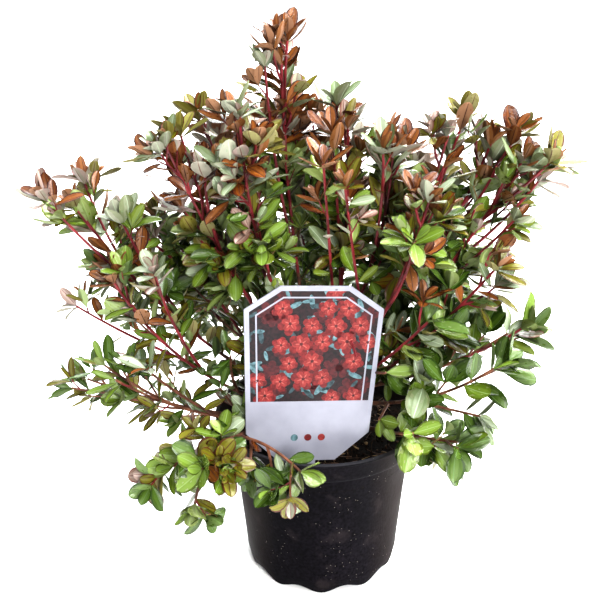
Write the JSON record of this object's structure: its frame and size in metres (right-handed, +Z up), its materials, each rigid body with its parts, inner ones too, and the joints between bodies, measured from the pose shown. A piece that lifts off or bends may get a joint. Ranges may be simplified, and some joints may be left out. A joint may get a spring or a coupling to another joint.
{
  "type": "potted azalea shrub",
  "caption": "Compact evergreen azalea shrub with red shoots and bronze leaf tips, standing in a black plastic nursery pot with a plant label.",
  "frame": {"origin": "centre of the pot's underside, on the surface the pot stands on", "axes": "+Z up along the pot's axis, -Y towards the side with the label (the picture's front), +X to the right seen from the front"},
  "size_m": [0.3391, 0.2837, 0.3907],
  "materials": {
    "pot_plastic": "dull black moulded plastic, lightly scuffed and dusty",
    "soil": "moist dark peat with fibres and bark crumbs",
    "label_plastic": "printed white plastic, satin",
    "bark": "reddish brown bark",
    "foliage": "leathery evergreen leaves, glossy above, bronze at the tips"
  },
  "bodies": {
    "root": {"pot": "pot_plastic", "soil": "soil", "label": "label_plastic", "trunk": "bark", "bough_back_high": "bark", "bough_back_left": "bark", "bough_back_left_low": "bark", "bough_back_low": "bark", "bough_back_right": "bark", "bough_back_right_low": "bark", "bough_centre": "bark", "bough_centre_right": "bark", "bough_front": "bark", "bough_front_leader": "bark", "bough_front_left": "bark", "bough_front_low": "bark", "bough_front_right": "bark", "bough_high_left": "bark", "bough_high_left_back": "bark", "bough_high_right": "bark", "bough_leader": "bark", "bough_left": "bark", "bough_left_front": "bark", "bough_left_middle": "bark", "bough_low_left": "bark", "bough_low_left_back": "bark", "bough_low_right": "bark", "bough_right": "bark", "bough_right_front": "bark", "bough_right_high": "bark", "bough_right_middle": "bark", "bough_right_side": "bark", "mass_back_high": "foliage", "mass_back_left": "foliage", "mass_back_left_low": "foliage", "mass_back_low": "foliage", "mass_back_right": "foliage", "mass_back_right_low": "foliage", "mass_centre": "foliage", "mass_centre_right": "foliage", "mass_front": "foliage", "mass_front_leader": "foliage", "mass_front_left": "foliage", "mass_front_low": "foliage", "mass_front_right": "foliage", "mass_high_left": "foliage", "mass_high_left_back": "foliage", "mass_high_right": "foliage", "mass_leader": "foliage", "mass_left": "foliage", "mass_left_front": "foliage", "mass_left_middle": "foliage", "mass_low_left": "foliage", "mass_low_left_back": "foliage", "mass_low_right": "foliage", "mass_right": "foliage", "mass_right_front": "foliage", "mass_right_high": "foliage", "mass_right_middle": "foliage", "mass_right_side": "foliage"}
  },
  "joints": []
}
